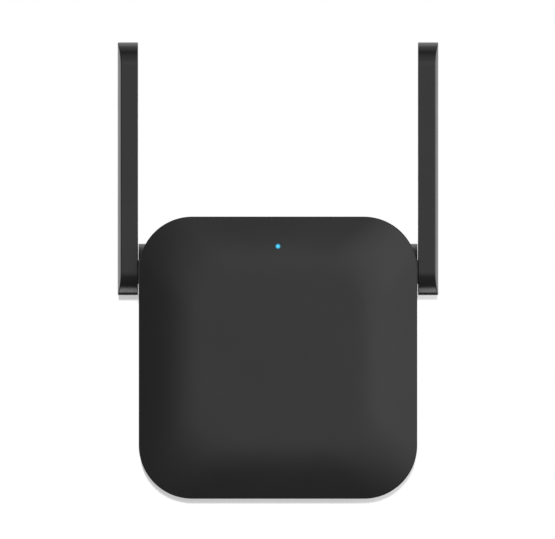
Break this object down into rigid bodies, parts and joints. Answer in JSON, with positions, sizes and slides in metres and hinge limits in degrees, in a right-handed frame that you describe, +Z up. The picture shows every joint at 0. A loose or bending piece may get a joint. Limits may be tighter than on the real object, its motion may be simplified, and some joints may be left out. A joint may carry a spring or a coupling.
{
  "type": "wifi range extender",
  "caption": "Plug-in wifi range extender: rounded square housing with a crowned front, folding paddle antennas and a round-pin mains plug on its back.",
  "frame": {"origin": "midway between the two plug pins, on the face of the plug that they stand out of", "axes": "+Y out of the plug face towards the socket, +Z up along the raised antennas, +X to the right as seen from the front"},
  "size_m": [0.0854, 0.064, 0.1214],
  "materials": {
    "housing_plastic": "fine satin texture, black",
    "antenna_plastic": "fine satin texture, black",
    "label_film": "blank dark grey label",
    "light_pipe": "clear acrylic, lit cyan by the lamp behind it",
    "pin_metal": "nickel plated",
    "pin_insulation": "smooth black",
    "contact_brass": "plain",
    "board_laminate": "green solder resist",
    "copper": "bare copper",
    "coax_jacket": "dark grey extruded jacket",
    "washer_rubber": "plain",
    "gold_contact": "gold flash",
    "tinned_steel": "tin plated",
    "chip_resin": "moulded, unmarked",
    "ferrite": "dark grey, ground",
    "led_lens": "clear over a cyan die",
    "switch_plastic": "plain",
    "plunger_plastic": "off-white",
    "bobbin_plastic": "plain",
    "winding_tape": "yellow tape over copper wire",
    "capacitor_sleeve": "dark blue sleeve, blank",
    "resistor_coat": "green coating",
    "disc_coat": "blue coating",
    "insulation_film": "translucent film",
    "screw_steel": "zinc plated"
  },
  "bodies": {
    "housing": {"front_cover": "housing_plastic", "rear_shell": "housing_plastic", "rating_label": "label_film", "light_pipe": "light_pipe", "plug_pin_left": "pin_metal", "plug_pin_right": "pin_metal", "pin_sleeve_left": "pin_insulation", "pin_sleeve_right": "pin_insulation", "pin_contact_left": "contact_brass", "pin_contact_right": "contact_brass", "left_hinge_washer": "washer_rubber", "left_housing_coax": "coax_jacket", "left_coax_plug": "gold_contact", "right_hinge_washer": "washer_rubber", "right_housing_coax": "coax_jacket", "right_coax_plug": "gold_contact", "main_board": "board_laminate", "coax_sockets": "gold_contact", "shield_frame": "tinned_steel", "shield_lid": "tinned_steel", "wifi_chip": "chip_resin", "power_amplifiers": "chip_resin", "crystal": "tinned_steel", "memory_chip": "chip_resin", "buck_inductor": "ferrite", "status_led": "led_lens", "reset_switch": "switch_plastic", "power_board": "board_laminate", "transformer_core": "ferrite", "transformer_bobbin": "bobbin_plastic", "transformer_winding": "winding_tape", "bulk_capacitors": "capacitor_sleeve", "output_capacitors": "capacitor_sleeve", "fuse_resistor": "resistor_coat", "bridge_rectifier": "chip_resin", "safety_capacitor": "disc_coat", "filter_inductor": "ferrite", "filter_winding": "copper", "optocoupler": "chip_resin", "control_chip": "chip_resin", "link_spacer": "bobbin_plastic", "link_pins": "gold_contact", "insulation_sheet": "insulation_film", "main_board_screws": "screw_steel", "power_board_screws": "screw_steel"},
    "left_antenna": {"left_antenna_shell": "antenna_plastic", "left_antenna_pivot": "antenna_plastic", "left_radiator_board": "board_laminate", "left_radiator_traces": "copper", "left_antenna_coax": "coax_jacket"},
    "right_antenna": {"right_antenna_shell": "antenna_plastic", "right_antenna_pivot": "antenna_plastic", "right_radiator_board": "board_laminate", "right_radiator_traces": "copper", "right_antenna_coax": "coax_jacket"},
    "reset_button": {"reset_plunger": "plunger_plastic"}
  },
  "joints": [
    {"name": "left_antenna_hinge", "type": "hinge", "parent": "housing", "child": "left_antenna", "pos_m": [-0.0373, -0.03, 0.0228], "axis": [1, 0, 0], "range_deg": [0, 180]},
    {"name": "right_antenna_hinge", "type": "hinge", "parent": "housing", "child": "right_antenna", "pos_m": [0.0373, -0.03, 0.0228], "axis": [1, 0, 0], "range_deg": [0, 180]},
    {"name": "reset_press", "type": "slide", "parent": "housing", "child": "reset_button", "axis": [0, 0, 1], "range_m": [0, 0.0003], "stiffness_N_per_m": 400}
  ]
}
